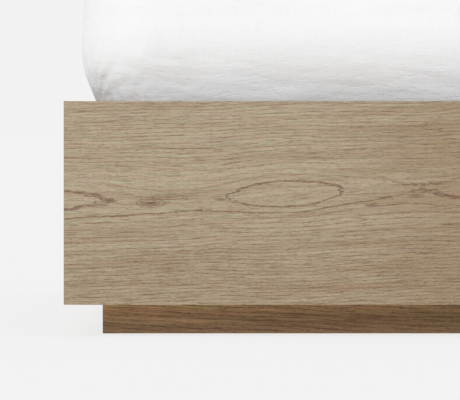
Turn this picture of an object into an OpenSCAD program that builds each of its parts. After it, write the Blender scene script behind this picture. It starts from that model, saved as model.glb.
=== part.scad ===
// Platform storage bed: a mitred oak case on a recessed plinth, a slatted deck sunk inside the case,
// two drawers in each long side on telescopic runners, and a mattress in a linen sheet.
// The origin is the middle of the floor under the bed. The foot faces -Y and the head +Y,
// "left" is -X, as seen by somebody who stands at the foot.

/* [Mattress] */
// Width of the mattress
mattress_w = 1524; // [990:2:1930]
// Length of the mattress
mattress_l = 2032; // [1900:2:2130]
// Thickness of the mattress
mattress_h = 254; // [200:2:320]
// How far the mattress sits below the top of the case
mattress_sink = 40; // [30:1:50]
// Clearance between the mattress and the case, each side
mattress_gap = 3; // [2:0.5:10]
// Radius of the mattress's soft lower edge
mattress_r_low = 100; // [60:2:110]
// Radius of the mattress's soft upper edge
mattress_r_top = 62; // [40:2:90]

/* [Case] */
// Height of the oak case, without the plinth
case_h = 305; // [280:1:340]
// Thickness of the oak boards
board_t = 25; // [22:1:30]
// Height of the rail above the drawers
top_rail_h = 85; // [80:1:100]
// Thickness of the upright partitions
partition_t = 22; // [18:1:25]
// Thickness of the base panels
base_t = 15; // [12:1:18]

/* [Plinth] */
// Height from the floor to the underside of the case
plinth_h = 48; // [40:1:80]
// How far the plinth is set back from the case on every side
plinth_inset = 57; // [40:1:90]
// Thickness of the plinth boards
plinth_t = 20; // [18:1:25]
// Height of the glides under the plinth
glide_h = 3; // [2:0.5:6]

/* [Deck] */
// Number of slats
slat_count = 14; // [10:1:18]
// Width of a slat
slat_w = 100; // [60:2:104]
// Thickness of a slat
slat_t = 20; // [15:1:22]

/* [Drawers] */
// Gap above each drawer front, which fingers reach through
finger_gap = 17; // [15:0.5:25]
// Gap at the other edges of a drawer front
front_gap = 3; // [2:0.5:4]
// Thickness of a drawer front
front_t = 22; // [20:1:25]
// Depth of a drawer box, from the back of its front
box_depth = 680; // [500:10:700]
// Height of a drawer box
box_h = 150; // [120:2:160]
// Thickness of the drawer box boards
box_t = 12; // [10:1:15]
// Length of a drawer runner
runner_l = 650; // [450:10:650]

/* [Hidden] */
$fn = 32;
SIDES = [["left", -1], ["right", 1]];
ENDS = [["foot", -1], ["head", 1]];
FIXED = [
    "foot_panel", "head_panel", "left_top_rail", "right_top_rail", "corner_stiles", "mullions",
    "foot_partition", "mid_partition", "head_partition", "center_spine",
    "base_panel_foot", "base_panel_head",
    "plinth_foot", "plinth_head", "plinth_left", "plinth_right", "plinth_center", "floor_glides",
    "slat_ledges", "slats", "slat_straps", "corner_brackets", "bracket_screws",
    "cabinet_runners", "cabinet_runner_screws", "drawer_bumpers", "mattress", "fitted_sheet"
];
DRAWER = [
    "drawer_front", "drawer_box_front", "drawer_box_sides", "drawer_box_back", "drawer_bottom",
    "drawer_runners", "drawer_screws", "middle_runners"
];
function bay_name(side, end) = str(side[0], "_", end[0]);

// Colours
oak = [0.65, 0.585, 0.49];
oak_shaded = [0.50, 0.42, 0.33];
birch = [0.83, 0.74, 0.60];
pine = [0.86, 0.76, 0.58];
zinc = [0.75, 0.76, 0.78];
white_linen = [0.95, 0.95, 0.94];
dark_rubber = [0.16, 0.16, 0.17];
brown_nylon = [0.30, 0.28, 0.26];
webbing = [0.88, 0.87, 0.83];

// Case, measured from the middle of the bed
half_w = mattress_w / 2 + mattress_gap + board_t;
half_l = mattress_l / 2 + mattress_gap + board_t;
inner_x = half_w - board_t;
inner_y = half_l - board_t;
case_top = plinth_h + case_h;
rail_z = case_top - top_rail_h;
base_top = plinth_h + base_t;

// Deck
strap_t = 1.5;
strap_w = 40;
strap_x = 480;
slat_top = case_top - mattress_sink - strap_t;
slat_z = slat_top - slat_t;
slat_end_gap = 8;
slat_end_play = 14;
strap_end_gap = 20;
ledge_w = 30;

// Drawer bays: each is a quarter of the case, between two partitions
bay_y0 = partition_t / 2;
bay_y1 = inner_y - partition_t;
bay_l = bay_y1 - bay_y0;
bay_y = (bay_y0 + bay_y1) / 2;
wall = bay_l / 2;

// Drawer box, measured in its bay
runner_space = 12.7;
front_x = half_w - front_t;
front_h = rail_z - finger_gap - plinth_h;
grip_bevel = 12;
box_y = wall - runner_space;
box_lift = 12;
box_z = base_top + box_lift;
box_back_x = front_x - box_depth;
bottom_t = 6;
bottom_lift = 10;
bottom_z = box_z + bottom_lift;
groove_d = 6;
groove_play = 0.2;

// Runners: a cabinet channel on the partition, a middle channel, and a drawer channel on the box.
// Each is a web and two flanges, and they nest inside one another with clearance for the balls.
runner_lift = 55;
runner_z = box_z + runner_lift;
runner_x1 = front_x - 4;
runner_x0 = runner_x1 - runner_l;
runner_wall_t = 1.2;
cabinet_channel_h = 45;
middle_channel_h = 39.4;
drawer_channel_h = 33.6;
cabinet_lip_y = wall - 9;
middle_web_y = wall - 3.3;
middle_lip_y = wall - 10.2;
drawer_lip_y = box_y + 7.4;
runner_screw_inset = 40;
runner_screw_xs = [
    runner_x0 + runner_screw_inset, (runner_x0 + runner_x1) / 2, runner_x1 - runner_screw_inset
];

// Screws
runner_screw_r = 1.8;
runner_screw_l = 9.5;
runner_screw_head_r = 3.6;
runner_screw_head_h = 0.9;
front_screw_l = 14;
front_screw_head_h = 2;
front_screw_inset = 35;
front_screw_ys = [for (share = [-0.85, -0.3, 0.3, 0.85]) share * box_y];
front_screw_zs = [box_z + front_screw_inset, box_z + box_h - front_screw_inset];
screw_play = 0.1;
cut = 1; // how far a cutter goes past the surface that it starts from

// Corner brackets
bracket_leg = 45;
bracket_h = 42;
bracket_t = 3;
bracket_z = slat_z + 3;
bracket_screw_r = 2.2;
bracket_screw_l = 18;
bracket_screw_head_r = 4;
bracket_screw_head_h = 2.2;
bracket_screw_out = 30;
bracket_screw_inset = 10;
bracket_screw_zs = [bracket_z + bracket_screw_inset, bracket_z + bracket_h - bracket_screw_inset];

// Glides and bumpers
glide_r = plinth_t / 2 - 1;
glide_end_gap = 95;
bumper_r = 5;
bumper_t = 2.5;
bumper_end_gap = 60;

// Soft parts
mattress_z = slat_top + strap_t;
mattress_corner_r = 112;
sheet_t = 1.5;
sheet_play = 0.5;
sheet_tuck = 150;
hem_play = 6;
soft_fn = 24;
soft_steps = 7;

// ---- Placing ----

// Turns something drawn for the foot, facing -Y, to face the foot (0), right (90), head (180) or left (270)
module facing(angle, distance, z) {
    rotate([0, 0, angle]) translate([0, -distance, z]) children();
}

// Something drawn for the right side of the head corner, in all four corners
module at_corners() {
    for (sx = [0, 1], sy = [0, 1])
        mirror([sx, 0, 0]) mirror([0, sy, 0]) children();
}

// Something drawn for a bay on the right, centred along it, in one bay
module in_bay(side, end) {
    mirror([side[1] < 0 ? 1 : 0, 0, 0])
        translate([0, end[1] * bay_y, 0])
            children();
}

module in_all_bays() {
    for (side = SIDES, end = ENDS) in_bay(side, end) children();
}

// Something drawn for a bay's +Y wall, at both its walls
module at_walls() {
    for (flip = [0, 1]) mirror([0, flip, 0]) children();
}

// ---- Fasteners ----

// A screw driven along +Z into a surface at z = 0, through a sheet that lies on that surface
module screw(r, l, head_r, head_h, sheet) {
    translate([0, 0, -sheet]) cylinder(r = r, h = l + sheet);
    translate([0, 0, -sheet - head_h]) cylinder(r = head_r, h = head_h);
}

// A drilled hole for a screw of this size, a little deeper than the screw
module pilot(r, l) {
    translate([0, 0, -cut]) cylinder(r = r + screw_play, h = cut + l + 0.5);
}

// A clearance hole through a sheet that lies on the surface
module clearance_hole(r, sheet) {
    translate([0, 0, -sheet - cut]) cylinder(r = r + screw_play, h = sheet + 2 * cut);
}

// The places of the screws of one runner, at a bay's +Y wall; y is the surface that they enter
module runner_screw_places(y, inward) {
    for (x = runner_screw_xs)
        translate([x, y, runner_z]) rotate([inward ? 90 : -90, 0, 0]) children();
}

// The places of a bracket's screws in the right head corner, on the rail and on the end panel
module bracket_screw_places() {
    for (z = bracket_screw_zs) {
        translate([inner_x, inner_y - bracket_screw_out, z]) rotate([0, 90, 0]) children();
        translate([inner_x - bracket_screw_out, inner_y, z]) rotate([-90, 0, 0]) children();
    }
}

// The places of the screws that hold a drawer front to its box, going outwards
module front_screw_places() {
    for (y = front_screw_ys, z = front_screw_zs)
        translate([front_x, y, z]) rotate([0, 90, 0]) children();
}

// ---- Oak case ----

// A board with its outer face on y = 0, mitred at both ends
module mitred_board(l, t, h) {
    linear_extrude(h)
        polygon([[-l / 2, 0], [l / 2, 0], [l / 2 - t, t], [-l / 2 + t, t]]);
}

module end_panel(angle) {
    color(oak) difference() {
        facing(angle, half_l, plinth_h) mitred_board(2 * half_w, board_t, case_h);
        at_corners() bracket_screw_places() pilot(bracket_screw_r, bracket_screw_l);
    }
}

module top_rail(angle) {
    color(oak) difference() {
        facing(angle, half_w, rail_z) mitred_board(2 * half_l, board_t, top_rail_h);
        at_corners() bracket_screw_places() pilot(bracket_screw_r, bracket_screw_l);
    }
}

// The uprights at the ends of the long sides, under the top rails, mitred into the end panels
module corner_stiles() {
    color(oak) at_corners() translate([0, 0, plinth_h]) linear_extrude(rail_z - plinth_h)
        polygon([[half_w, half_l], [half_w, bay_y1], [inner_x, bay_y1], [inner_x, inner_y]]);
}

// The uprights between the two drawers of a side
module mullions() {
    color(oak) for (flip = [0, 1]) mirror([flip, 0, 0])
        translate([inner_x, -partition_t / 2, plinth_h])
            cube([board_t, partition_t, rail_z - plinth_h]);
}

// ---- Partitions, spine and base ----

// A wall across the whole case, from face y0 to y0 + partition_t
module partition(y0) {
    color(birch) difference() {
        translate([-inner_x, y0, base_top]) cube([2 * inner_x, partition_t, slat_z - base_top]);
        in_all_bays() at_walls() runner_screw_places(wall, false)
            pilot(runner_screw_r, runner_screw_l);
    }
}

module center_spine() {
    color(birch) for (flip = [0, 1]) mirror([0, flip, 0])
        translate([-partition_t / 2, bay_y0, base_top])
            cube([partition_t, bay_l, slat_z - base_top]);
}

module base_panel(flip) {
    color(birch) mirror([0, flip, 0])
        translate([-inner_x, 0, plinth_h]) cube([2 * inner_x, inner_y, base_t]);
}

// ---- Plinth ----

module plinth_board(angle, half_out, half_along) {
    color(oak_shaded)
        facing(angle, half_out - plinth_inset, glide_h)
            mitred_board(2 * (half_along - plinth_inset), plinth_t, plinth_h - glide_h);
}

module plinth_center() {
    half = half_l - plinth_inset - plinth_t;
    color(pine) translate([-plinth_t / 2, -half, glide_h])
        cube([plinth_t, 2 * half, plinth_h - glide_h]);
}

module floor_glides() {
    side_x = half_w - plinth_inset - plinth_t / 2;
    reach_y = half_l - plinth_inset - glide_end_gap;
    color(brown_nylon) for (x = [-side_x, 0, side_x], y = [-reach_y, 0, reach_y])
        translate([x, y, 0]) cylinder(r = glide_r, h = glide_h);
}

// ---- Slatted deck ----

module slat_ledges() {
    color(pine) in_all_bays() translate([inner_x - ledge_w, -wall, rail_z])
        cube([ledge_w, bay_l, slat_z - rail_z]);
}

module slats() {
    first_y = -inner_y + slat_end_play;
    pitch = (-2 * first_y - slat_w) / (slat_count - 1);
    length = 2 * (inner_x - slat_end_gap);
    color(pine) for (i = [0 : slat_count - 1])
        translate([-length / 2, first_y + i * pitch, slat_z]) cube([length, slat_w, slat_t]);
}

module slat_straps() {
    half = inner_y - strap_end_gap;
    color(webbing) for (x = [-strap_x, strap_x])
        translate([x - strap_w / 2, -half, slat_top]) cube([strap_w, 2 * half, strap_t]);
}

// ---- Corner brackets ----

module corner_brackets() {
    color(zinc) at_corners() difference() {
        translate([inner_x - bracket_leg, inner_y - bracket_leg, bracket_z]) difference() {
            cube([bracket_leg, bracket_leg, bracket_h]);
            translate([-bracket_t, -bracket_t, -cut])
                cube([bracket_leg, bracket_leg, bracket_h + 2 * cut]);
        }
        bracket_screw_places() clearance_hole(bracket_screw_r, bracket_t);
    }
}

module bracket_screws() {
    color(zinc) at_corners() bracket_screw_places()
        screw(bracket_screw_r, bracket_screw_l, bracket_screw_head_r, bracket_screw_head_h, bracket_t);
}

// ---- Runners ----

// A channel along X: its web's outer face at y = web_y, its flanges reaching to y = lip_y
module channel(web_y, lip_y, h) {
    t = runner_wall_t * sign(lip_y - web_y);
    half = h / 2;
    inner = half - runner_wall_t;
    translate([runner_x0, 0, runner_z]) rotate([90, 0, 90]) linear_extrude(runner_l)
        polygon([
            [web_y, -half], [lip_y, -half], [lip_y, -inner], [web_y + t, -inner],
            [web_y + t, inner], [lip_y, inner], [lip_y, half], [web_y, half]
        ]);
}

module cabinet_runners() {
    color(zinc) in_all_bays() at_walls() difference() {
        channel(wall, cabinet_lip_y, cabinet_channel_h);
        runner_screw_places(wall, false) clearance_hole(runner_screw_r, runner_wall_t);
    }
}

module cabinet_runner_screws() {
    color(zinc) in_all_bays() at_walls() runner_screw_places(wall, false)
        screw(runner_screw_r, runner_screw_l, runner_screw_head_r, runner_screw_head_h, runner_wall_t);
}

module middle_runners() {
    color(zinc) at_walls() channel(middle_web_y, middle_lip_y, middle_channel_h);
}

module drawer_runners() {
    color(zinc) at_walls() difference() {
        channel(box_y, drawer_lip_y, drawer_channel_h);
        runner_screw_places(box_y, true) clearance_hole(runner_screw_r, runner_wall_t);
    }
}

// ---- Drawers ----

// The front's top edge is bevelled behind, so that fingers hook over it
module drawer_front() {
    top = plinth_h + front_h;
    length = bay_l - 2 * front_gap;
    color(oak) difference() {
        translate([0, length / 2, 0]) rotate([90, 0, 0]) linear_extrude(length)
            polygon([
                [front_x, plinth_h], [half_w, plinth_h], [half_w, top],
                [front_x + grip_bevel, top], [front_x, top - grip_bevel]
            ]);
        front_screw_places() pilot(bracket_screw_r, front_screw_l);
    }
}

module drawer_box_front() {
    color(birch) difference() {
        translate([front_x - box_t, -box_y + box_t, box_z])
            cube([box_t, 2 * (box_y - box_t), box_h]);
        bottom_slab(groove_play);
        front_screw_places() clearance_hole(bracket_screw_r, box_t);
    }
}

module drawer_box_sides() {
    color(birch) difference() {
        at_walls() translate([box_back_x, box_y - box_t, box_z]) cube([box_depth, box_t, box_h]);
        bottom_slab(groove_play);
        at_walls() runner_screw_places(box_y, true) pilot(runner_screw_r, runner_screw_l);
    }
}

// The back stands on the bottom, which slides in under it
module drawer_box_back() {
    z = bottom_z + bottom_t;
    color(birch) translate([box_back_x, -box_y + box_t, z])
        cube([box_t, 2 * (box_y - box_t), box_z + box_h - z]);
}

// The bottom board, or with play the groove that it slides into from behind and lies in
module bottom_slab(play) {
    reach = box_t - groove_d;
    translate([box_back_x - play, -box_y + reach - play, bottom_z])
        cube([box_depth - reach + 2 * play, 2 * (box_y - reach + play), bottom_t + play]);
}

module drawer_bottom() {
    color(birch) bottom_slab(0);
}

module drawer_screws() {
    color(zinc) {
        front_screw_places()
            screw(bracket_screw_r, front_screw_l, bracket_screw_head_r, front_screw_head_h, box_t);
        at_walls() runner_screw_places(box_y, true)
            screw(runner_screw_r, runner_screw_l, runner_screw_head_r, runner_screw_head_h, runner_wall_t);
    }
}

module drawer_bumpers() {
    color(dark_rubber) in_all_bays() at_walls()
        translate([inner_x, wall - bumper_end_gap, plinth_h + base_t / 2]) rotate([0, 90, 0])
            cylinder(r = bumper_r, h = bumper_t);
}

// ---- Mattress and sheet ----

// The half outline of a mattress corner: bottom and top edges rounded, grown outwards by extra
module corner_profile(extra) {
    low = mattress_r_low + extra;
    high = mattress_r_top + extra;
    out = mattress_corner_r + extra;
    polygon([
        [0, -extra],
        for (i = [0 : soft_steps]) let (a = 90 * i / soft_steps)
            [out - low + low * sin(a), low - extra - low * cos(a)],
        for (i = [0 : soft_steps]) let (a = 90 * i / soft_steps)
            [out - high + high * cos(a), mattress_h + extra - high + high * sin(a)],
        [0, mattress_h + extra]
    ]);
}

module soft_block(extra) {
    x = mattress_w / 2 - mattress_corner_r;
    y = mattress_l / 2 - mattress_corner_r;
    translate([0, 0, mattress_z]) hull() for (sx = [-x, x], sy = [-y, y])
        translate([sx, sy, 0]) rotate_extrude($fn = soft_fn) corner_profile(extra);
}

// The middle of the underside comes down through the open part of the sheet, onto the deck
module mattress() {
    x = mattress_w / 2 - sheet_tuck - hem_play;
    y = mattress_l / 2 - sheet_tuck - hem_play;
    color(white_linen) {
        soft_block(-sheet_t - sheet_play);
        translate([-x, -y, mattress_z]) cube([2 * x, 2 * y, mattress_h / 2]);
    }
}

// The sheet wraps the top and sides and turns in under the edge, open underneath
module fitted_sheet() {
    open_x = mattress_w / 2 - sheet_tuck;
    open_y = mattress_l / 2 - sheet_tuck;
    color(white_linen) difference() {
        soft_block(0);
        soft_block(-sheet_t);
        translate([-open_x, -open_y, mattress_z - cut])
            cube([2 * open_x, 2 * open_y, sheet_t + 2 * cut]);
    }
}

// ---- Nodes ----

end_panel(0);  // foot_panel
end_panel(180);  // head_panel
top_rail(270);  // left_top_rail
top_rail(90);  // right_top_rail
corner_stiles();
mullions();
partition(-inner_y);  // foot_partition
partition(-partition_t / 2);  // mid_partition
partition(bay_y1);  // head_partition
center_spine();
base_panel(1);  // base_panel_foot
base_panel(0);  // base_panel_head
plinth_board(0, half_l, half_w);  // plinth_foot
plinth_board(180, half_l, half_w);  // plinth_head
plinth_board(270, half_w, half_l);  // plinth_left
plinth_board(90, half_w, half_l);  // plinth_right
plinth_center();
floor_glides();
slat_ledges();
slats();
slat_straps();
corner_brackets();
bracket_screws();
cabinet_runners();
cabinet_runner_screws();
drawer_bumpers();
mattress();
fitted_sheet();

for (side = SIDES, end = ENDS) {
    bay = str(bay_name(side, end), "_");
    in_bay(side, end) drawer_front();
    in_bay(side, end) drawer_box_front();
    in_bay(side, end) drawer_box_sides();
    in_bay(side, end) drawer_box_back();
    in_bay(side, end) drawer_bottom();
    in_bay(side, end) drawer_runners();
    in_bay(side, end) drawer_screws();
    in_bay(side, end) middle_runners();
}
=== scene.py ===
"""The looks of the platform storage bed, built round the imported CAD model.

Everything is in metres in the CAD's frame: +X is the right-hand side, -Y the foot and +Z up.
Materials work in millimetres on each board's own axes: along the grain, across it, and into the board.
"""

import math

import bpy
import numpy as np
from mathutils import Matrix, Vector, noise


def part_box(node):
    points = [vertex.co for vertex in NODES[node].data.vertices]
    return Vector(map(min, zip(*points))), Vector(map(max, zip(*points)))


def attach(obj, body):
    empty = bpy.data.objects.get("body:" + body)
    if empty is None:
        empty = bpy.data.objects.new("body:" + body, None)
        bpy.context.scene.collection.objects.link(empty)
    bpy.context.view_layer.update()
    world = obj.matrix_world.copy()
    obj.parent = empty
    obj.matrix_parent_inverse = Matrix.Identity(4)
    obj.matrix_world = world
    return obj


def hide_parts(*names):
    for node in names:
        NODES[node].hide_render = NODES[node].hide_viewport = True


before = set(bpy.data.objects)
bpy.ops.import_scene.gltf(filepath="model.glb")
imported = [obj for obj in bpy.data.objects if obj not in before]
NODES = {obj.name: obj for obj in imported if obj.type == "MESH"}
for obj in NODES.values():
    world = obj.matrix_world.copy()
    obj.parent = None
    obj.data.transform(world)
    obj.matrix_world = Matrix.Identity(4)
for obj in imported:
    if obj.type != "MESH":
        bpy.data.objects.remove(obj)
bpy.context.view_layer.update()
MM = 0.001
BAYS = [(side, end) for side in ("left", "right") for end in ("foot", "head")]
HALF_W, HALF_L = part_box("foot_panel")[1][0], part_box("head_panel")[1][1]


# ---------------------------------------------------------------- node building


class Shade:
    """One material's node tree. Wherever an input goes, a number, a colour or a socket may go."""

    def __init__(self, name):
        self.material = bpy.data.materials.new(name)
        self.material.use_nodes = True
        self.tree = self.material.node_tree
        self.tree.nodes.clear()

    def plug(self, socket, value):
        if isinstance(value, bpy.types.NodeSocket):
            self.tree.links.new(value, socket)
        elif isinstance(value, (tuple, list)) and socket.type == "RGBA" and len(value) == 3:
            socket.default_value = (*value, 1)
        else:
            socket.default_value = value

    def node(self, kind, settings=(), **inputs):
        made = self.tree.nodes.new("ShaderNode" + kind)
        for key, value in dict(settings).items():
            setattr(made, key, value)
        for key, value in inputs.items():
            self.plug(made.inputs[key.replace("_", " ")], value)
        return made

    def math(self, operation, *values, clamp=False):
        made = self.node("Math", {"operation": operation, "use_clamp": clamp})
        for socket, value in zip(made.inputs, values):
            self.plug(socket, value)
        return made.outputs[0]

    def add(self, *values):
        total = values[0]
        for value in values[1:]:
            total = self.math("ADD", total, value)
        return total

    def mul(self, *values):
        total = values[0]
        for value in values[1:]:
            total = self.math("MULTIPLY", total, value)
        return total

    def step(self, value, low, high, to_low=0.0, to_high=1.0):
        """value taken smoothly from to_low, at low, to to_high, at high."""
        made = self.node("MapRange", {"interpolation_type": "SMOOTHSTEP"})
        for socket, x in zip(made.inputs, (value, low, high, to_low, to_high)):
            self.plug(socket, x)
        return made.outputs[0]

    def mix(self, share, a, b):
        """Colour a, taken towards colour b. A Mix node's colours are its inputs 6 and 7 and its output 2."""
        made = self.node("Mix", {"data_type": "RGBA", "clamp_factor": True})
        self.plug(made.inputs[0], share)
        self.plug(made.inputs[6], a)
        self.plug(made.inputs[7], b)
        return made.outputs[2]

    def vector(self, x=0.0, y=0.0, z=0.0):
        return self.node("CombineXYZ", X=x, Y=y, Z=z).outputs[0]

    def noise(self, vector, scale=1.0, detail=2.0, roughness=0.5):
        """Noise about 0.5, one unit of the vector being about one grain at scale 1."""
        made = self.node("TexNoise", Vector=vector, Scale=scale, Detail=detail, Roughness=roughness)
        return made.outputs[0]

    def place(self):
        """The point's X, Y and Z in the CAD frame, in millimetres."""
        point = self.node("TexCoord").outputs["Object"]
        split = self.node("SeparateXYZ", Vector=point)
        return [self.mul(axis, 1 / MM) for axis in split.outputs]

    def bump(self, height, depth, normal=None):
        """Height from 0 to 1 stands for depth millimetres."""
        made = self.node("Bump", Strength=1.0, Distance=depth * MM, Height=height)
        if normal is not None:
            self.plug(made.inputs["Normal"], normal)
        return made.outputs[0]

    def finish(self, color, roughness, normal=None, **more):
        shader = self.node("BsdfPrincipled", Base_Color=color, Roughness=roughness)
        if normal is not None:
            self.plug(shader.inputs["Normal"], normal)
        for key, value in more.items():
            self.plug(shader.inputs[key.replace("_", " ")], value)
        out = self.node("OutputMaterial")
        self.tree.links.new(shader.outputs[0], out.inputs["Surface"])
        return self.material


# ---------------------------------------------------------------- wood

OAK = {
    "pale": (0.390, 0.362, 0.240),
    "rosy": (0.428, 0.328, 0.235),
    "warm": (0.306, 0.226, 0.132),
    "line": (0.128, 0.050, 0.032),
    "knot": (0.158, 0.078, 0.052),
}
# the plinths' oak: browner than the boards, and darkened further with painted shade, as if under the case's
# overhang
BROWN_OAK_IN_PAINTED_SHADE = {
    "pale": (0.462, 0.318, 0.136),
    "rosy": (0.500, 0.278, 0.140),
    "warm": (0.200, 0.114, 0.050),
    "line": (0.058, 0.028, 0.009),
    "knot": (0.100, 0.050, 0.022),
}


def board_axes(s, along, across, into):
    """Distances in millimetres on a board's axes, each given as (axis, sign, start)."""
    xyz = s.place()
    return [s.math("MULTIPLY_ADD", xyz["XYZ".index(axis)], sign, -sign * start / MM)
            for axis, sign, start in (along, across, into)]


def bell(s, value, middle, width):
    """1 at the middle, falling to 0 over about the width on both sides."""
    offset = s.mul(s.math("SUBTRACT", value, middle), 1 / width)
    return s.math("EXPONENT", s.mul(offset, offset, -1.0))


def spot(s, u, v, place, height, length, width):
    """1 at a place on a board's face, falling to 0 over about length along it and width across it."""
    return s.mul(bell(s, u, place, length), bell(s, v, height, width))


def oak(name, along, across, into, seed, heart=150.0, depth=52.0, first=49.6, ring=5.0, slope=0.0,
        tones=OAK, eyes=(), knots=(), clouds_and_painted_shade=(), dense=(), bend=None, long=1.0, wander=7.0):
    """Oak sawn so that its heart lies under one line of the face.

    The rings are cylinders about that line, depth millimetres behind the face, and the grain lines are
    where the face cuts them; one of them has the radius first. An eye (along, length, rise) brings the
    rings up, so that one of them closes. A knot and a cloudy patch, a little darker, are both
    (along, across, length, width, strength); a negative strength makes a cloudy patch lighter, and on the
    plinths most cloudy patches are painted shade and painted light. In a dense band, (across, width,
    gain), the strokes are stronger. A bend (along, across, length, width, fall) takes the whole grain
    down locally. long stretches the strokes, and wander is how far the rings stray from their circles.
    """
    s = Shade(name)
    u, v, w = board_axes(s, along, across, into)
    level = s.math("MULTIPLY_ADD", u, -slope, v)
    if bend:
        place, height, length, width, fall = bend
        level = s.math("MULTIPLY_ADD", spot(s, u, v, place, height, length, width), fall, level)
    slow = s.noise(s.vector(s.mul(u, 1 / 170), s.mul(level, 1 / 75), s.add(s.mul(w, 1 / 75), seed)))
    quick = s.noise(s.vector(s.mul(u, 1 / 48), s.mul(v, 1 / 14), s.add(s.mul(w, 1 / 14), seed + 3.3)),
                    detail=2.5, roughness=0.55)
    rise = s.add(depth, w)
    for place, length, height in eyes:
        rise = s.math("MULTIPLY_ADD", bell(s, u, place, length), -height, rise)
    off = s.math("SUBTRACT", level, heart)
    off = s.math("MULTIPLY_ADD", s.math("SUBTRACT", slow, 0.5), 2 * wander, off)
    radius = s.math("SQRT", s.math("MULTIPLY_ADD", off, off, s.mul(rise, rise)))
    radius = s.math("MULTIPLY_ADD", s.math("SUBTRACT", quick, 0.5), 2.4, radius)
    steep = s.math("DIVIDE", s.math("ABSOLUTE", off), radius)
    jag = s.noise(s.vector(s.mul(u, 1 / 10), s.mul(v, 1 / 2.6), seed + 7.7), detail=3, roughness=0.6)
    jag_depth = s.step(steep, 0.1, 0.6, 1.9, 0.5)
    radius = s.math("MULTIPLY_ADD", s.math("SUBTRACT", jag, 0.5), jag_depth, radius)
    swellings = [s.mul(spot(s, u, v, *where), strength) for *where, strength in knots]
    for swelling in swellings:
        radius = s.math("MULTIPLY_ADD", swelling, 3.0, radius)

    # the years: each begins with a thin, ragged line of open pores, of its own strength
    years = s.mul(s.math("SUBTRACT", radius, first), 1 / ring)
    uneven = s.noise(s.vector(s.mul(radius, 1 / 17), s.mul(u, 1 / 500), seed), detail=1)
    years = s.math("MULTIPLY_ADD", s.math("SUBTRACT", uneven, 0.5), 0.9, years)
    ragged = s.noise(s.vector(s.mul(u, 1 / 5), s.mul(v, 1 / 1.6), seed + 5), detail=2)
    years = s.math("MULTIPLY_ADD", s.math("SUBTRACT", ragged, 0.5), 0.16, years)
    phase, year = s.math("FRACT", years), s.math("FLOOR", years)
    thin = s.step(steep, 0.0, 0.45, 0.36, 1.0)
    line = s.step(phase, s.mul(thin, 0.24), s.mul(thin, 0.08))
    line = s.math("MAXIMUM", line, s.step(phase, 0.95, 1.0))
    fade = s.noise(s.vector(s.mul(u, 1 / 46), s.mul(year, 7.31), seed), detail=3, roughness=0.62)
    bold = bell(s, years, 0.5, 0.9)
    broken = s.step(s.math("MULTIPLY_ADD", bold, 0.30, fade), 0.34, 0.60, 0.22, 1.0)
    above = s.mul(s.step(off, 5.0, 14.0), s.step(off, 55.0, 34.0), s.step(years, 0.85, 1.0))
    strength = s.math("MULTIPLY_ADD", bold, 0.20, 0.92)
    line = s.mul(line, strength, broken, s.math("MULTIPLY_ADD", above, -0.5, 1.0))

    # pores: strokes that run straight along the board, thickest in the lines
    deep = s.add(level, s.mul(w, 1.3))
    strokes = s.noise(s.vector(s.mul(u, 1 / (17 * long)), s.mul(deep, 1 / 0.95), seed + 1.7),
                      detail=2.5, roughness=0.55)
    pores = s.noise(s.vector(s.mul(u, 1 / 7), s.mul(deep, 1 / 0.7), seed + 2.9), detail=1.5)
    streaks = s.noise(s.vector(s.mul(u, 1 / (90 * long)), s.mul(deep, 1 / 1.45), seed + 4.1),
                      detail=2.5, roughness=0.6)
    dark = s.mul(line, s.step(strokes, 0.36, 0.54, 0.40, 1.0))
    dark = s.math("MAXIMUM", dark, s.step(strokes, 0.53, 0.66, 0.0, 0.60))
    dark = s.math("MAXIMUM", dark, s.step(streaks, 0.54, 0.66, 0.0, 0.34))
    dark = s.add(dark, s.step(pores, 0.52, 0.68, 0.0, 0.44))
    for height, width, gain in dense:
        dark = s.mul(dark, s.math("MULTIPLY_ADD", bell(s, v, height, width), gain, 1.0))

    tone = s.noise(s.vector(s.mul(u, 1 / 300), s.mul(deep, 1 / 9), seed + 6.2), detail=4, roughness=0.6)
    tint = s.step(tone, 0.30, 0.75, 0.0, 0.66)
    # the cloudy patches join the wood's own tone in tint: on the plinths they are mostly painted shade and
    # painted light
    for *where, strength in clouds_and_painted_shade:
        tint = s.add(tint, s.mul(spot(s, u, v, *where), strength))
    blush = s.noise(s.vector(s.mul(u, 1 / 40), s.mul(deep, 1 / 1.5), seed + 9.4), detail=3, roughness=0.6)
    color = s.mix(s.step(blush, 0.42, 0.57), tones["pale"], tones["rosy"])
    color = s.mix(tint, color, tones["warm"])
    color = s.mix(s.math("MULTIPLY", dark, 0.74, clamp=True), color, tones["line"])

    # the knots: dark strands in the middle, and thin lines that run round it
    strands = s.step(s.add(s.mul(strokes, 0.6), s.mul(streaks, 0.5)), 0.46, 0.59, 0.10, 1.20)
    for swelling in swellings:
        coil = s.math("FRACT", s.mul(s.math("MULTIPLY_ADD", jag, 0.40, swelling), 3.1))
        coil = s.mul(bell(s, coil, 0.5, 0.17), s.step(swelling, 0.08, 0.34, 0.0, 0.95))
        share = s.math("MAXIMUM", s.mul(swelling, strands), coil)
        color = s.mix(s.math("MULTIPLY", share, 0.85, clamp=True), color, tones["knot"])
    roughness = s.add(0.50, s.mul(dark, 0.14), s.mul(tone, 0.06))
    return s.finish(color, roughness, s.bump(s.mul(dark, -1.0), 0.22), Specular_IOR_Level=0.35)


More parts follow.
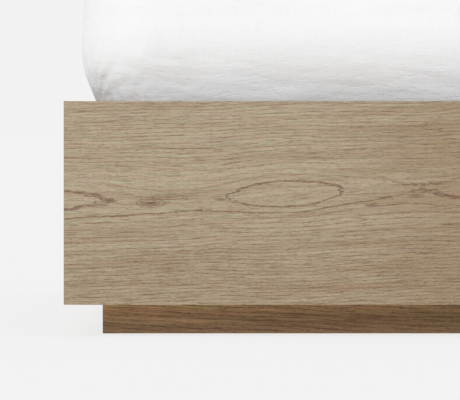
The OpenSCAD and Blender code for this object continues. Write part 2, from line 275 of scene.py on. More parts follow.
def plywood(name, thick, seed, ply=1.4):
    """Birch plywood. thick is the axis through its thickness, so its edges show the plies."""
    s = Shade(name)
    xyz = s.place()
    t = xyz["XYZ".index(thick)]
    a, b = [xyz["XYZ".index(k)] for k in "XYZ" if k != thick]
    across = s.math("FRACT", s.mul(t, 0.5 / ply))
    even = s.step(across, 0.46, 0.54)
    glue = s.math("MAXIMUM", bell(s, across, 0.5, 0.045), bell(s, across, 0.0, 0.045))
    swirl = s.noise(s.vector(s.mul(a, 1 / 260), s.mul(b, 1 / 70), s.add(s.mul(t, 1 / 9), seed)))
    swirled = s.math("MULTIPLY_ADD", swirl, 60.0, b)
    grain = s.noise(s.vector(s.mul(a, 1 / 55), s.mul(swirled, 1 / 3.2), seed), detail=4, roughness=0.6)
    fleck = s.noise(s.vector(s.mul(a, 1 / 9), s.mul(b, 1 / 0.9), s.add(s.mul(t, 0.8), seed + 2)), detail=1)
    color = s.mix(s.step(grain, 0.3, 0.7), (0.66, 0.50, 0.335), (0.76, 0.62, 0.45))
    color = s.mix(s.mul(s.step(fleck, 0.58, 0.75), 0.35), color, (0.50, 0.34, 0.20))
    color = s.mix(s.mul(even, 0.22), color, (0.52, 0.36, 0.22))
    color = s.mix(s.mul(glue, 0.45), color, (0.30, 0.19, 0.11))
    height = s.add(s.mul(grain, 0.5), s.mul(fleck, 0.5))
    return s.finish(color, s.add(0.42, s.mul(grain, 0.12)), s.bump(height, 0.10))


def pine(name, along, seed):
    """Planed softwood with its grain along one axis."""
    s = Shade(name)
    xyz = s.place()
    u = xyz["XYZ".index(along)]
    a, b = [xyz["XYZ".index(k)] for k in "XYZ" if k != along]
    warp = s.noise(s.vector(s.mul(u, 1 / 300), s.mul(a, 1 / 60), s.add(s.mul(b, 1 / 60), seed)), detail=2)
    radius = s.add(a, s.mul(b, 0.6), s.mul(warp, 30.0))
    rings = s.math("FRACT", s.mul(radius, 1 / 6.5))
    late = s.mul(s.step(rings, 0.35, 0.96), s.step(rings, 1.0, 0.97))
    fibre = s.noise(s.vector(s.mul(u, 1 / 18), s.mul(a, 1 / 0.7), s.add(s.mul(b, 1 / 0.7), seed)), detail=2)
    color = s.mix(late, (0.74, 0.57, 0.355), (0.55, 0.345, 0.17))
    color = s.mix(s.mul(fibre, 0.3), color, (0.80, 0.66, 0.46))
    return s.finish(color, s.add(0.48, s.mul(fibre, 0.15)), s.bump(s.add(s.mul(late, 0.5), fibre), 0.12))


# ---------------------------------------------------------------- metal, plastic and rubber


def zinc(name, grain, seed):
    """Rolled zinc-plated steel with fine scratches along one axis and soft spangles."""
    s = Shade(name)
    xyz = s.place()
    u = xyz["XYZ".index(grain)]
    a, b = [xyz["XYZ".index(k)] for k in "XYZ" if k != grain]
    scratch = s.noise(s.vector(s.mul(u, 1 / 40), s.mul(a, 1 / 0.35), s.add(s.mul(b, 1 / 0.35), seed)),
                      detail=3)
    cloud = s.noise(s.vector(s.mul(u, 1 / 30), s.mul(a, 1 / 14), s.add(s.mul(b, 1 / 14), seed)), detail=3)
    color = s.mix(s.step(cloud, 0.3, 0.7), (0.52, 0.53, 0.55), (0.66, 0.665, 0.67))
    roughness = s.add(0.24, s.mul(cloud, 0.14), s.mul(scratch, 0.12))
    return s.finish(color, roughness, s.bump(scratch, 0.02), Metallic=1.0)


def moulded(name, color, shade, roughness, seed, grit=1.2):
    """Matt rubber or nylon with a moulded grain."""
    s = Shade(name)
    x, y, z = s.place()
    grain, dust = [
        s.noise(s.vector(s.mul(x, 1 / size), s.mul(y, 1 / size), s.add(s.mul(z, 1 / size), seed)), detail=3)
        for size in (grit, 9)
    ]
    tint = s.mix(s.step(dust, 0.35, 0.75), color, shade)
    return s.finish(tint, s.add(roughness, s.mul(grain, 0.15)), s.bump(grain, 0.12))


def woven_strap(name):
    """Herringbone webbing, woven along Y."""
    s = Shade(name)
    x, y, _ = s.place()
    zig = s.math("PINGPONG", x, 5.0)
    wave = s.math("SINE", s.mul(s.add(y, zig), 2 * math.pi / 2.4))
    rib = s.math("SINE", s.mul(x, 2 * math.pi / 1.1))
    cloth = s.add(s.mul(wave, 0.35), s.mul(rib, 0.15), 0.5)
    fuzz = s.noise(s.vector(x, y, 0.0), scale=0.8, detail=3)
    color = s.mix(s.step(cloth, 0.15, 0.9), (0.50, 0.48, 0.42), (0.78, 0.76, 0.70))
    color = s.mix(s.mul(fuzz, 0.3), color, (0.62, 0.60, 0.54))
    return s.finish(color, 0.85, s.bump(cloth, 0.5))


def assign(material, *names):
    for name in names:
        mesh = NODES[name].data
        mesh.materials.clear()
        mesh.materials.append(material)


def soften(width, *names):
    """Eases the sharp edges of CAD boards and plates, as sanding or rolling leaves them."""
    for name in names:
        node = NODES[name]
        node.modifiers.new("join", "WELD").merge_threshold = 0.00001
        bevel = node.modifiers.new("ease", "BEVEL")
        bevel.width = width * MM
        bevel.segments = 2
        bevel.limit_method = "ANGLE"
        bevel.angle_limit = math.radians(40)
        bevel.harden_normals = True


# ---------------------------------------------------------------- stage, light and camera

BACKDROP = (0.888, 0.888, 0.888)


def make_stage():
    """A pale floor that glows a little, to meet the backdrop without an edge, and a soft key light."""
    reach = 150.0
    corners = [(-reach, -reach, 0), (reach, -reach, 0), (reach, reach, 0), (-reach, reach, 0)]
    floor = bpy.data.objects.new("floor", bpy.data.meshes.new("floor"))
    floor.data.from_pydata(corners, [], [(0, 1, 2, 3)])
    bpy.context.scene.collection.objects.link(floor)
    s = Shade("pale_floor")
    glow = s.node("Emission", Color=BACKDROP, Strength=0.88)
    paint = s.node("BsdfDiffuse", Color=(0.10, 0.10, 0.10))
    both = s.node("AddShader")
    s.tree.links.new(glow.outputs[0], both.inputs[0])
    s.tree.links.new(paint.outputs[0], both.inputs[1])
    out = s.node("OutputMaterial")
    s.tree.links.new(both.outputs[0], out.inputs["Surface"])
    floor.data.materials.append(s.material)

    world = bpy.data.worlds.new("studio")
    bpy.context.scene.world = world
    world.use_nodes = True
    world.node_tree.nodes["Background"].inputs[0].default_value = (*BACKDROP, 1)

    key = bpy.data.objects.new("key", bpy.data.lights.new("key", "SUN"))
    key.data.energy = 1.30
    key.data.angle = math.radians(25)
    key.rotation_euler = (math.radians(60), 0, math.radians(-24))
    bpy.context.scene.collection.objects.link(key)
    bpy.context.scene.view_settings.view_transform = "Standard"


def make_camera():
    """A long lens just below the top of the case, square on to the foot panel's left end."""
    away, height = 8.0, 0.315
    view_width = 0.6886
    aim_x, aim_z = -0.541, 0.205
    pitch = math.atan2(height - aim_z, away)
    camera = bpy.data.objects.new("camera", bpy.data.cameras.new("camera"))
    camera.data.sensor_width = 36.0
    camera.data.lens = camera.data.sensor_width * away / view_width
    camera.data.clip_end = 600
    camera.location = (aim_x, -HALF_L - away, height)
    camera.rotation_euler = (math.radians(90) - pitch, 0, 0)
    bpy.context.scene.collection.objects.link(camera)
    bpy.context.scene.camera = camera


make_stage()
make_camera()


# ---------------------------------------------------------------- finishes of the CAD parts

# a board's axis is (axis, sign, start): its direction, and where it starts
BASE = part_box("foot_panel")[0][2]
UP = ("Z", 1, BASE)
FROM_FOOT, FROM_HEAD = ("Y", 1, -HALF_L), ("Y", -1, HALF_L)
FROM_LEFT, FROM_RIGHT = ("X", 1, -HALF_W), ("X", -1, HALF_W)

assign(
    oak("oak_foot", FROM_LEFT, UP, FROM_FOOT, 1.0, heart=157.0, slope=0.033, long=1.6,
        bend=(185.0, 160.0, 110.0, 60.0, 9.0),
        eyes=[(350.0, 66.0, 6.0), (275.0, 50.0, 2.6), (-30.0, 120.0, 4.5), (535.0, 60.0, -2.2)],
        knots=[(130.0, 152.5, 19.0, 5.5, 1.0), (158.0, 161.5, 34.0, 5.0, 0.5),
               (236.0, 158.0, 8.0, 1.8, 1.0), (526.0, 164.0, 12.0, 2.2, 1.0),
               (460.0, 149.0, 7.0, 1.6, 1.0), (580.0, 120.5, 15.0, 1.5, 1.0)],
        clouds_and_painted_shade=[(640.0, 150.0, 140.0, 400.0, 0.48), (1100.0, 150.0, 600.0, 400.0, 0.45),
                 (300.0, -20.0, 700.0, 120.0, 0.38), (250.0, 305.0, 300.0, 70.0, -0.10)],
        dense=[(30.0, 60.0, 0.16)]),
    "foot_panel",
)
assign(oak("oak_head", FROM_RIGHT, UP, FROM_HEAD, 11.0, heart=120.0), "head_panel")
assign(oak("oak_left_rail", FROM_HEAD, UP, FROM_LEFT, 21.0, heart=200.0, depth=60.0), "left_top_rail")
assign(oak("oak_right_rail", FROM_FOOT, UP, FROM_RIGHT, 31.0, heart=330.0, depth=55.0), "right_top_rail")
assign(oak("oak_stiles", UP, FROM_FOOT, FROM_LEFT, 41.0, heart=-300.0, depth=80.0),
       "corner_stiles", "mullions")
for number, (side, end) in enumerate(BAYS):
    name = f"{side}_{end}_drawer_front"
    along, into = (FROM_HEAD, FROM_LEFT) if side == "left" else (FROM_FOOT, FROM_RIGHT)
    assign(oak(f"oak_{name}", along, UP, into, 51.0 + 7.7 * number, heart=90.0 + 25 * number), name)

PLINTHS = {
    "plinth_foot": (FROM_LEFT, FROM_FOOT),
    "plinth_head": (FROM_RIGHT, FROM_HEAD),
    "plinth_left": (FROM_HEAD, FROM_LEFT),
    "plinth_right": (FROM_FOOT, FROM_RIGHT),
}
# painted shade, darker towards the floor; painted light, lighter under the case's overhang; and darker again
# towards the middle of the board
PLINTH_PAINTED_SHADE_AND_CLOUD = [(0.0, 0.0, 4000.0, 22.0, 1.1), (0.0, 48.0, 4000.0, 15.0, -0.16),
                 (800.0, 0.0, 450.0, 400.0, 0.8)]
for number, (name, (along, into)) in enumerate(PLINTHS.items()):
    assign(oak(f"oak_{name}", along, ("Z", 1, 0.0), into, 91.0 + 5.3 * number, heart=-60.0, depth=30.0,
               tones=BROWN_OAK_IN_PAINTED_SHADE, slope=-0.05, clouds_and_painted_shade=PLINTH_PAINTED_SHADE_AND_CLOUD, dense=[(24.0, 60.0, 0.3)], long=2.4),
           name)

ply_y, ply_x, ply_z = plywood("ply_y", "Y", 3.0), plywood("ply_x", "X", 5.0), plywood("ply_z", "Z", 8.0)
assign(ply_y, "foot_partition", "mid_partition", "head_partition")
assign(ply_x, "center_spine")
assign(ply_z, "base_panel_foot", "base_panel_head")
assign(pine("pine_x", "X", 2.0), "slats")
assign(pine("pine_y", "Y", 7.0), "slat_ledges", "plinth_center")
assign(woven_strap("strap_webbing"), "slat_straps")
rail_zinc = zinc("zinc_rail", "X", 4.0)
assign(rail_zinc, "cabinet_runners")
assign(zinc("zinc_bracket", "Z", 6.0), "corner_brackets")
screw_zinc = zinc("zinc_screw", "Z", 9.0)
assign(screw_zinc, "bracket_screws", "cabinet_runner_screws")
assign(moulded("black_rubber", (0.022, 0.022, 0.024), (0.06, 0.06, 0.06), 0.62, 1.0), "drawer_bumpers")
assign(moulded("brown_nylon", (0.075, 0.066, 0.058), (0.12, 0.11, 0.10), 0.45, 2.0), "floor_glides")
for side, end in BAYS:
    bay = f"{side}_{end}_"
    assign(ply_x, bay + "drawer_box_front", bay + "drawer_box_back")
    assign(ply_y, bay + "drawer_box_sides")
    assign(ply_z, bay + "drawer_bottom")
    assign(rail_zinc, bay + "drawer_runners", bay + "middle_runners")
    assign(screw_zinc, bay + "drawer_screws")

soften(0.7, "foot_panel", "head_panel", "left_top_rail", "right_top_rail", "corner_stiles", "mullions",
       *PLINTHS, *[f"{side}_{end}_drawer_front" for side, end in BAYS])


# ---------------------------------------------------------------- the mattress and its fitted sheet


def graded(length, fine, coarse, growth=1.22):
    """Places from -1 to 1 along a side, close together at its ends and coarse apart in the middle."""
    steps = [fine]
    while steps[-1] * growth < coarse:
        steps.append(steps[-1] * growth)
    middle = max(1, round((length - 2 * sum(steps)) / coarse))
    steps = [*steps, *[(length - 2 * sum(steps)) / middle] * middle, *reversed(steps)]
    return 2 * np.concatenate([[0], np.cumsum(steps)]) / length - 1


class SoftBlock:
    """A block with rounded edges as a grid: a top, then rows that run down round it and turn in under it.

    A row is (inset from the widest outline, height, length of cloth down from the edge of the top).
    """

    def __init__(self, half, base, top, radii, corner_cells, pitch):
        self.half, self.base, self.top = np.array(half), base, top
        self.plan_r, self.low_r, self.low_h, self.top_r = radii
        self.corner = corner_cells
        fine = self.plan_r * math.pi / 4 / corner_cells
        self.places = [graded(2 * (half - self.plan_r), fine, pitch) for half in self.half]
        self.straight = np.array([len(places) - 1 for places in self.places])
        self.size = self.straight + 2 * corner_cells

    def along(self, line, places):
        """Where a grid line is on its side, from -1 to 1, and how far round the corner, from -1 to 1."""
        step, last = line - self.corner, len(places) - 1
        over = np.maximum(step - last, 0) - np.maximum(-step, 0)
        return places[np.clip(step, 0, last)], over / self.corner

    def corner_radius(self, inset):
        return max(self.plan_r - inset, 0.012)

    def plan(self, i, j, inset):
        """X and Y of grid lines i and j, where the outline lies inset inside the widest one."""
        radius = self.corner_radius(inset)
        middle = self.half - inset - radius
        (across, p), (length, q) = self.along(i, self.places[0]), self.along(j, self.places[1])
        far, near = np.maximum(abs(p), abs(q)), np.minimum(abs(p), abs(q))
        turn = np.pi / 4 * near / np.maximum(far, 1e-9)
        turn = np.where(abs(p) >= abs(q), turn, np.pi / 2 - turn)
        x = middle[0] * across + np.sign(p) * far * radius * np.cos(turn)
        y = middle[1] * length + np.sign(q) * far * radius * np.sin(turn)
        return x, y

    def flat_places(self, i, j, row):
        """Each column's places on the flat cloth: on that of the long sides, and on that of the ends."""
        inset, _, drop = row
        radius = self.corner_radius(inset)
        runs, falls = [], []
        for line, places, half in zip((i, j), self.places, self.half):
            place, over = self.along(line, places)
            runs.append((half - inset - radius) * place + over * radius * np.pi / 4)
            falls.append(np.sign(place) * (half - self.top_r + drop))
        return np.stack([falls[0], runs[1]], axis=-1), np.stack([runs[0], falls[1]], axis=-1)

    def flat_faces(self, upper, lower):
        """The flat places of one row of faces. A side's cloth meets the next one's on the diagonal."""
        i, j = self.edge()
        ahead = np.roll(np.arange(len(i)), -1)
        on_long_side = (i == i[ahead])[:, None]
        corners = []
        for row, shift in ((upper, 0), (lower, 0), (lower, -1), (upper, -1)):
            long_side, end = [np.roll(places, shift, axis=0) for places in self.flat_places(i, j, row)]
            corners.append(np.where(on_long_side, long_side, end))
        return np.stack(corners, axis=1)

    def edge(self):
        """Grid lines of the outline's columns, anticlockwise from the left foot corner."""
        nx, ny = self.size
        i = [*range(nx), *[nx] * ny, *range(nx, 0, -1), *[0] * ny]
        j = [*[0] * nx, *range(ny), *[ny] * nx, *range(ny, 0, -1)]
        return np.array(i), np.array(j)

    def rows(self, top_rows, side_rows, low_rows, tuck_rows=0, tuck=0.0):
        """Rows down the upper edge, the side and the lower edge, and in under the block by the tuck."""
        made = []
        for a in np.linspace(0, np.pi / 2, top_rows + 1)[1:]:
            inset = self.top_r * (1 - math.sin(a))
            made.append((inset, self.top - self.top_r * (1 - math.cos(a)), self.top_r * a))
        shoulder, drop = self.top - self.top_r, self.top_r * math.pi / 2
        side = shoulder - self.base - self.low_h
        for part in np.linspace(0, side, side_rows + 1)[1:]:
            made.append((0.0, shoulder - part, drop + part))
        drop += side
        last = np.zeros(2)
        for a in np.linspace(0, np.pi / 2, low_rows + 1)[1:]:
            here = np.array([self.low_r * (1 - math.cos(a)), self.low_h * math.sin(a)])
            drop += np.linalg.norm(here - last)
            made.append((here[0], self.base + self.low_h - here[1], drop))
            last = here
        for part in np.linspace(0, tuck, tuck_rows + 1)[1:]:
            made.append((self.low_r + part, self.base, drop + part))
        crown = [BULGE * math.exp(-(((height - BULGE_Z) / BULGE_SPREAD) ** 2)) for _, height, _ in made]
        return [(inset - out, height, drop) for out, (inset, height, drop) in zip(crown, made)]

    def grid(self, inset, height):
        j, i = np.mgrid[0:self.size[1] + 1, 0:self.size[0] + 1]
        x, y = self.plan(i, j, inset)
        return np.stack([x, y, np.full_like(x, height)], axis=-1)

    def points(self, rows, closed=False):
        found = [self.grid(self.top_r, self.top).reshape(-1, 3)]
        for inset, height, _ in rows:
            x, y = self.plan(*self.edge(), inset)
            found.append(np.stack([x, y, np.full_like(x, height)], axis=-1))
        if closed:
            found.append(self.grid(self.low_r, self.base)[1:-1, 1:-1].reshape(-1, 3))
        return np.concatenate(found)

    def build(self, name, rows, closed=False):
        """The mesh object. Its UV map is each point's place on the flat cloth, in metres."""
        nx, ny = self.size
        patch = np.arange((nx + 1) * (ny + 1)).reshape(ny + 1, nx + 1)
        i, j = self.edge()
        rings = [patch[j, i]]
        rings += [patch.size + len(i) * k + np.arange(len(i)) for k in range(len(rows))]
        cells = np.stack([patch[:-1, :-1], patch[:-1, 1:], patch[1:, 1:], patch[1:, :-1]], axis=-1)
        faces = [cells.reshape(-1, 4)]
        flat = [self.points([])[faces[0]][:, :, :2]]
        top_row = (self.top_r, self.top, 0.0)
        for above, below, upper, lower in zip(rings, rings[1:], [top_row, *rows], rows):
            faces.append(np.stack([above, below, np.roll(below, -1), np.roll(above, -1)], axis=-1))
            flat.append(self.flat_faces(upper, lower))
        points = self.points(rows, closed)
        if closed:
            under = np.full(patch.shape, -1)
            under[j, i] = rings[-1]
            first_inner = rings[-1][-1] + 1
            under[1:-1, 1:-1] = first_inner + np.arange((nx - 1) * (ny - 1)).reshape(ny - 1, nx - 1)
            cells = np.stack([under[:-1, :-1], under[1:, :-1], under[1:, 1:], under[:-1, 1:]], axis=-1)
            faces.append(cells.reshape(-1, 4))
            flat.append(points[faces[-1]][:, :, :2])
        mesh = bpy.data.meshes.new(name)
        mesh.from_pydata(points.tolist(), [], np.concatenate(faces).tolist())
        places = np.concatenate(flat).astype(np.float32).ravel()
        mesh.uv_layers.new(name="cloth").data.foreach_set("uv", places)
        mesh.polygons.foreach_set("use_smooth", [True] * len(mesh.polygons))
        made = bpy.data.objects.new(name, mesh)
        bpy.context.scene.collection.objects.link(made)
        self.hem = rings[-2:]
        return made


def points_of(mesh):
    flat = np.empty(len(mesh.vertices) * 3, np.float32)
    mesh.vertices.foreach_get("co", flat)
    return flat.reshape(-1, 3).astype(float)


def normals_of(mesh):
    flat = np.empty(len(mesh.vertices) * 3, np.float32)
    mesh.vertex_normals.foreach_get("vector", flat)
    return flat.reshape(-1, 3).astype(float)


def move_to(mesh, points):
    mesh.vertices.foreach_set("co", points.astype(np.float32).ravel())
    mesh.update()


def relaxed(mesh, points, share=0.5):
    """Each point moved part of the way to the mean of its neighbours."""
    pairs = np.empty(len(mesh.edges) * 2, np.int32)
    mesh.edges.foreach_get("vertices", pairs)
    a, b = pairs.reshape(-1, 2).T
    total, count = np.zeros_like(points), np.zeros((len(points), 1))
    for here, there in ((a, b), (b, a)):
        np.add.at(total, here, points[there])
        np.add.at(count, here, 1)
    return points + (total / count - points) * share


def ramp(value, low, high):
    """0 below low, 1 above high, smooth between."""
    t = np.clip((value - low) / (high - low), 0, 1)
    return t * t * (3 - 2 * t)


def clouds(points, sizes, seed, octaves=2):
    """Smooth noise between about -1 and 1, with grains of the given sizes in metres along X, Y and Z."""
    grid = (points / np.array(sizes) + seed).tolist()
    return np.array([noise.fractal(Vector(p), 0.8, 2.1, octaves) for p in grid])


def apply_modifiers(thing):
    depsgraph = bpy.context.evaluated_depsgraph_get()
    mesh = bpy.data.meshes.new_from_object(thing.evaluated_get(depsgraph), depsgraph=depsgraph)
    thing.modifiers.clear()
    thing.data = mesh


# radius in plan, how far the lower edge turns in and how high, and radius of the upper edge
PLAN_R, LOW_R, LOW_H, TOP_R = 0.112, 0.090, 0.115, 0.062
TUCK = 0.078
# the sides stand out a little above the case: how far, at what height, and over how much
BULGE, BULGE_Z, BULGE_SPREAD = 0.0040, 0.436, 0.050


def block_inside(node, gap, corner_cells, pitch):
    """The rounded block of a CAD node's size, gap smaller all round."""
    low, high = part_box(node)
    radii = [r - gap for r in (PLAN_R, LOW_R, LOW_H, TOP_R)]
    half = (high[0] - gap, high[1] - gap)
    return SoftBlock(half, low[2] + gap, high[2] - gap, radii, corner_cells, pitch)


def cut_shape(block, rows, ease):
    """The cloth's shape before it is pulled in under the mattress, a little larger than the mattress."""
    shoulder = TOP_R * math.pi / 2
    turn = block.top - block.base - LOW_H - TOP_R + shoulder
    straight_down = [(max(0, inset - 0.02) * 0.4, block.top - TOP_R - (drop - shoulder), drop)
                     if drop > turn + 1e-6 else (inset, height, drop) for inset, height, drop in rows]
    middle = np.array([0, 0, (block.top + block.base) / 2])
    return (block.points(straight_down) - middle) * ease + middle


def drape(sheet, frames):
    """Runs the cloth simulation on the sheet, held at its hem, and returns its points."""
    core_block = block_inside("fitted_sheet", gap=0.004, corner_cells=8, pitch=0.05)
    core = core_block.build("core", core_block.rows(top_rows=6, side_rows=5, low_rows=8), closed=True)
    core.modifiers.new("collide", "COLLISION")
    core.collision.thickness_outer = 0.003
    core.collision.cloth_friction = 0.5

    cloth = sheet.modifiers.new("cloth", "CLOTH")
    settings = cloth.settings
    settings.quality = 5
    settings.mass = 0.15
    settings.tension_stiffness = settings.compression_stiffness = 12
    settings.shear_stiffness = 6
    settings.bending_stiffness = 0.02
    settings.tension_damping = settings.compression_damping = settings.shear_damping = 5
    settings.air_damping = 2
    settings.vertex_group_mass = "hem"
    settings.rest_shape_key = sheet.data.shape_keys.key_blocks["cut"]
    cloth.collision_settings.distance_min = 0.002
    cloth.point_cache.frame_end = frames
    for frame_number in range(1, frames + 1):
        bpy.context.scene.frame_set(frame_number)
    draped = points_of(sheet.evaluated_get(bpy.context.evaluated_depsgraph_get()).data)
    bpy.context.scene.frame_set(1)
    sheet.modifiers.clear()
    bpy.data.objects.remove(core)
    return draped


def settle(sheet, block, rows, ease=1.03, push=0.006, frames=14, farthest=0.014, calming=0.55):
    """The sheet, cut a little too large, settles on the mattress, most of all round its lower edge."""
    shaped = points_of(sheet.data)
    crumple = 0.5 + clouds(shaped, (0.07, 0.07, 0.07), 3.1) * 0.8
    crumple += clouds(shaped, (0.03, 0.03, 0.03), 8.3) * 0.5
    move_to(sheet.data, shaped + normals_of(sheet.data) * np.clip(crumple, 0, 2)[:, None] * push)
    sheet.shape_key_add(name="start")
    key = sheet.shape_key_add(name="cut")
    key.data.foreach_set("co", cut_shape(block, rows, ease).astype(np.float32).ravel())
    key.value = 0
    held = sheet.vertex_groups.new(name="hem")
    for ring, weight in zip(block.hem, (0.6, 1.0)):
        held.add(ring.tolist(), weight, "REPLACE")

    move = drape(sheet, frames) - shaped
    far = np.linalg.norm(move, axis=1, keepdims=True)
    settled = shaped + move * np.minimum(1, farthest / np.maximum(far, 1e-9))
    for _ in range(2):
        settled = relaxed(sheet.data, settled)
    # the cloth is smoother on the upper part of the sides
    calm = ramp(shaped[:, 2], 0.420, 0.470) * (1 - ramp(shaped[:, 2], 0.520, 0.550))
    settled += (shaped - settled) * calming * calm[:, None]
    sheet.shape_key_clear()
    sheet.vertex_groups.clear()
    move_to(sheet.data, settled)


def corner_places(points, block):
    """Each point's distance round its corner, from the long side's end, and the number of the corner."""
    ax, ay = [abs(points[:, k]) - (block.half[k] - PLAN_R) for k in (0, 1)]
    turn = np.arctan2(np.maximum(ay, 0), np.maximum(ax, 1e-9))
    around = np.where(ax <= 0, PLAN_R * np.pi / 2 - ax, np.where(ay <= 0, ay, PLAN_R * turn))
    return around, (points[:, 0] > 0) + 2 * (points[:, 1] > 0)


# the folds that fan out from where the sheet is drawn in at a corner: direction and width in degrees, and
# relative height
FAN = (
    (-4, 6, 0.8), (13, 6, 2.4), (22, 4, -0.9), (31, 9, 2.8), (43, 6, -4.6), (51, 4, 1.6), (59, 4, -2.4),
    (67, 4, 1.4), (77, 5, -2.4), (88, 5, 1.0), (99, 5, -1.6), (110, 6, 0.8), (122, 6, -1.2),
)
FAN_MM = 0.46
# where the fan starts: distance round the corner, and height
FAN_START = (0.038, 0.345)
# each corner's own fan: how much wider its angles are, and how much higher its folds
CORNER_HABITS = ((1.0, 1.0), (0.94, 0.8), (1.06, 0.7), (0.9, 0.9))


def fan_relief(around, height, corner):
    """Height in metres of the gathers at the corners, by place round the corner and over the floor."""
    spread, strength = np.array(CORNER_HABITS)[corner].T
    dx, dz = around - FAN_START[0], height - FAN_START[1]
    direction = np.degrees(np.arctan2(dz, dx)) * spread
    distance = np.hypot(dx, dz)
    near = ramp(distance, 0.003, 0.022) * (1 - ramp(distance, 0.060, 0.120))
    total = sum(rise * np.exp(-(((direction - middle) / width) ** 2)) for middle, width, rise in FAN)
    return total * near * strength * FAN_MM * MM


def end_hollow(around, height):
    """How many mm the foot and head faces lean in below their middle, more than the long sides do."""
    below_middle = 1 - ramp(height, 0.385, 0.475)
    in_the_case = 1 - ramp(height, 0.345, 0.378)
    return 11.5 * below_middle * (1 - 0.48 * in_the_case) * ramp(around, 0.060, 0.190)


def sculpt(sheet, block):
    """The folds and creases of worn linen, finer than the simulation's grid."""
    points, normals = points_of(sheet.data), normals_of(sheet.data)
    around, corner = corner_places(points, block)
    height = points[:, 2]
    top = ramp(height, 0.470, 0.520)
    lower = ramp(height, 0.335, 0.365) * (1 - ramp(height, 0.400, 0.450))
    upwards = np.array([0, 0, 1])
    slanted = points + upwards * (points[:, :1] + points[:, 1:2]) * 0.10
    crossing = points - upwards * (points[:, :1] - points[:, 1:2]) * 0.45
    rolls = clouds(slanted, (0.085, 0.085, 0.014), 5.0)
    creases = clouds(slanted, (0.040, 0.040, 0.007), 15.0)
    tucks = np.minimum(clouds(crossing, (0.050, 0.050, 0.011), 55.0), 0)
    broad = clouds(points, (0.19, 0.19, 0.09), 25.0)
    drift = clouds(points, (0.3, 0.3, 0.3), 2.0)[:, None] * 0.05
    long_folds = np.clip(1 - abs(clouds(points + drift, (0.42, 0.13, 0.2), 35.0)) * 4, 0, 1)
    relief = (rolls * 0.68 + creases * 0.65 + tucks) * lower + broad * 1.2 + long_folds * top * 2.6
    relief -= end_hollow(around, height)
    move_to(sheet.data, points + normals * (relief * MM + fan_relief(around, height, corner))[:, None])


def linen():
    """Washed white linen: a plain weave of uneven threads, with slubs and soft crumples."""
    s = Shade("linen_weave")
    place = s.node("UVMap", {"uv_map": "cloth"}).outputs[0]
    split = s.node("SeparateXYZ", Vector=place)
    u, v = [s.mul(axis, 1 / MM) for axis in split.outputs[:2]]
    x, y, z = s.place()
    thread = 2 * math.pi / 0.95
    drift = s.mul(s.noise(s.vector(s.mul(u, 1 / 45), s.mul(v, 1 / 45), 0.0)), 4.0)
    warp, weft = [s.math("SINE", s.mul(s.add(way, drift), thread)) for way in (u, v)]
    weave = s.math("MULTIPLY_ADD", s.mul(warp, weft), 0.5, 0.5)
    slub_u = s.noise(s.vector(s.mul(u, 1 / 30), s.mul(v, 1 / 1.9), 3.0), detail=3)
    slub_v = s.noise(s.vector(s.mul(u, 1 / 1.9), s.mul(v, 1 / 30), 9.0), detail=3)
    slubs = s.math("MAXIMUM", s.step(slub_u, 0.50, 0.72), s.step(slub_v, 0.50, 0.72))
    crumple = s.noise(s.vector(s.mul(x, 1 / 18), s.mul(y, 1 / 18), s.mul(z, 1 / 6)),
                      detail=4, roughness=0.6)
    creased = s.math("ABSOLUTE", s.math("SUBTRACT", crumple, 0.5))

    # by height over the floor: more crumpled towards the case, with painted shade, darker and cooler, down
    # towards it, and painted light in its shadow
    slack = s.step(z, 440.0, 390.0, 0.35, 1.6)
    low, painted_light_by_case = s.step(z, 425.0, 355.0), s.step(z, 368.0, 356.0)
    # painted shade: darker and cooler towards the case, the cool tint set against the warm light from the
    # oak
    color = s.mix(low, (0.786, 0.785, 0.788), (0.732, 0.744, 0.770))
    # painted light: lighter just above the case, where its shadow falls on the cloth
    color = s.mix(painted_light_by_case, color, (0.835, 0.850, 0.885))
    color = s.mix(s.mul(weave, 0.35), color, (0.728, 0.727, 0.728))
    color = s.mix(s.mul(slubs, 0.27), color, (0.690, 0.690, 0.690))
    fine = s.bump(s.add(s.mul(weave, 0.6), s.mul(slubs, 0.8)), 0.12)
    worn = s.bump(s.mul(s.add(crumple, s.mul(creased, -0.9)), slack), 0.6, fine)
    rough = s.add(0.86, s.mul(slubs, 0.08))
    return s.finish(color, rough, worn, Sheen_Weight=0.15, Sheen_Roughness=0.5, Specular_IOR_Level=0.2)


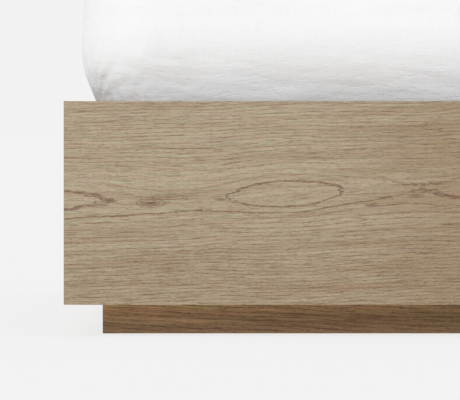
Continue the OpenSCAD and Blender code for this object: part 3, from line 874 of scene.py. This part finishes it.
def ticking():
    """Knitted mattress ticking, off-white with a small diamond figure."""
    s = Shade("mattress_ticking")
    x, y, z = s.place()

    def ripple(value, length):
        return s.math("SINE", s.mul(value, 2 * math.pi / length))

    figure = s.mul(ripple(s.add(x, y), 9), ripple(s.math("SUBTRACT", x, y), 9))
    knit = s.mul(ripple(x, 1.3), ripple(s.add(y, z), 1.6))
    fuzz = s.noise(s.vector(x, y, z), scale=0.5, detail=3)
    color = s.mix(s.step(figure, -0.2, 0.4), (0.78, 0.765, 0.73), (0.88, 0.875, 0.86))
    color = s.mix(s.mul(fuzz, 0.25), color, (0.72, 0.70, 0.66))
    height = s.add(s.mul(figure, 0.4), s.mul(knit, 0.25), s.mul(fuzz, 0.2))
    return s.finish(color, 0.88, s.bump(height, 0.5), Sheen_Weight=0.2)


def make_mattress(over_slats=0.0002, channel=0.180, seam_width=0.22, seam_depth=0.0030):
    """A quilted mattress. Its lower face shows between the slats."""
    block = block_inside("fitted_sheet", gap=0.008, corner_cells=8, pitch=0.020)
    block.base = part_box("mattress")[0][2] + over_slats
    rows = block.rows(top_rows=4, side_rows=6, low_rows=6)
    mattress = block.build("quilted_mattress", rows, closed=True)
    points, normals = points_of(mattress.data), normals_of(mattress.data)
    across, along = points[:, 0], points[:, 1]
    quilt = np.minimum(abs(np.sin(np.pi * (across + along) / channel)),
                       abs(np.sin(np.pi * (across - along) / channel)))
    sunk = seam_depth * np.exp(-((quilt / seam_width) ** 2))
    around, _ = corner_places(points, block)
    move_to(mattress.data, points - normals * (sunk + end_hollow(around, points[:, 2]) * MM)[:, None])
    mattress.data.materials.append(ticking())
    mattress.modifiers.new("smooth", "SUBSURF").render_levels = 1
    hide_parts("mattress")
    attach(mattress, "bed_frame")


def make_sheet():
    """The fitted sheet: cloth that is draped over the mattress, then sculpted."""
    block = block_inside("fitted_sheet", gap=0.0, corner_cells=18, pitch=0.030)
    rows = block.rows(top_rows=8, side_rows=8, low_rows=18, tuck_rows=3, tuck=TUCK)
    sheet = block.build("linen_sheet", rows)
    settle(sheet, block, rows)
    sheet.modifiers.new("smooth", "SUBSURF").levels = 1
    apply_modifiers(sheet)
    sculpt(sheet, block)
    sheet.data.materials.append(linen())
    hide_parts("fitted_sheet")
    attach(sheet, "bed_frame")


make_mattress()
make_sheet()
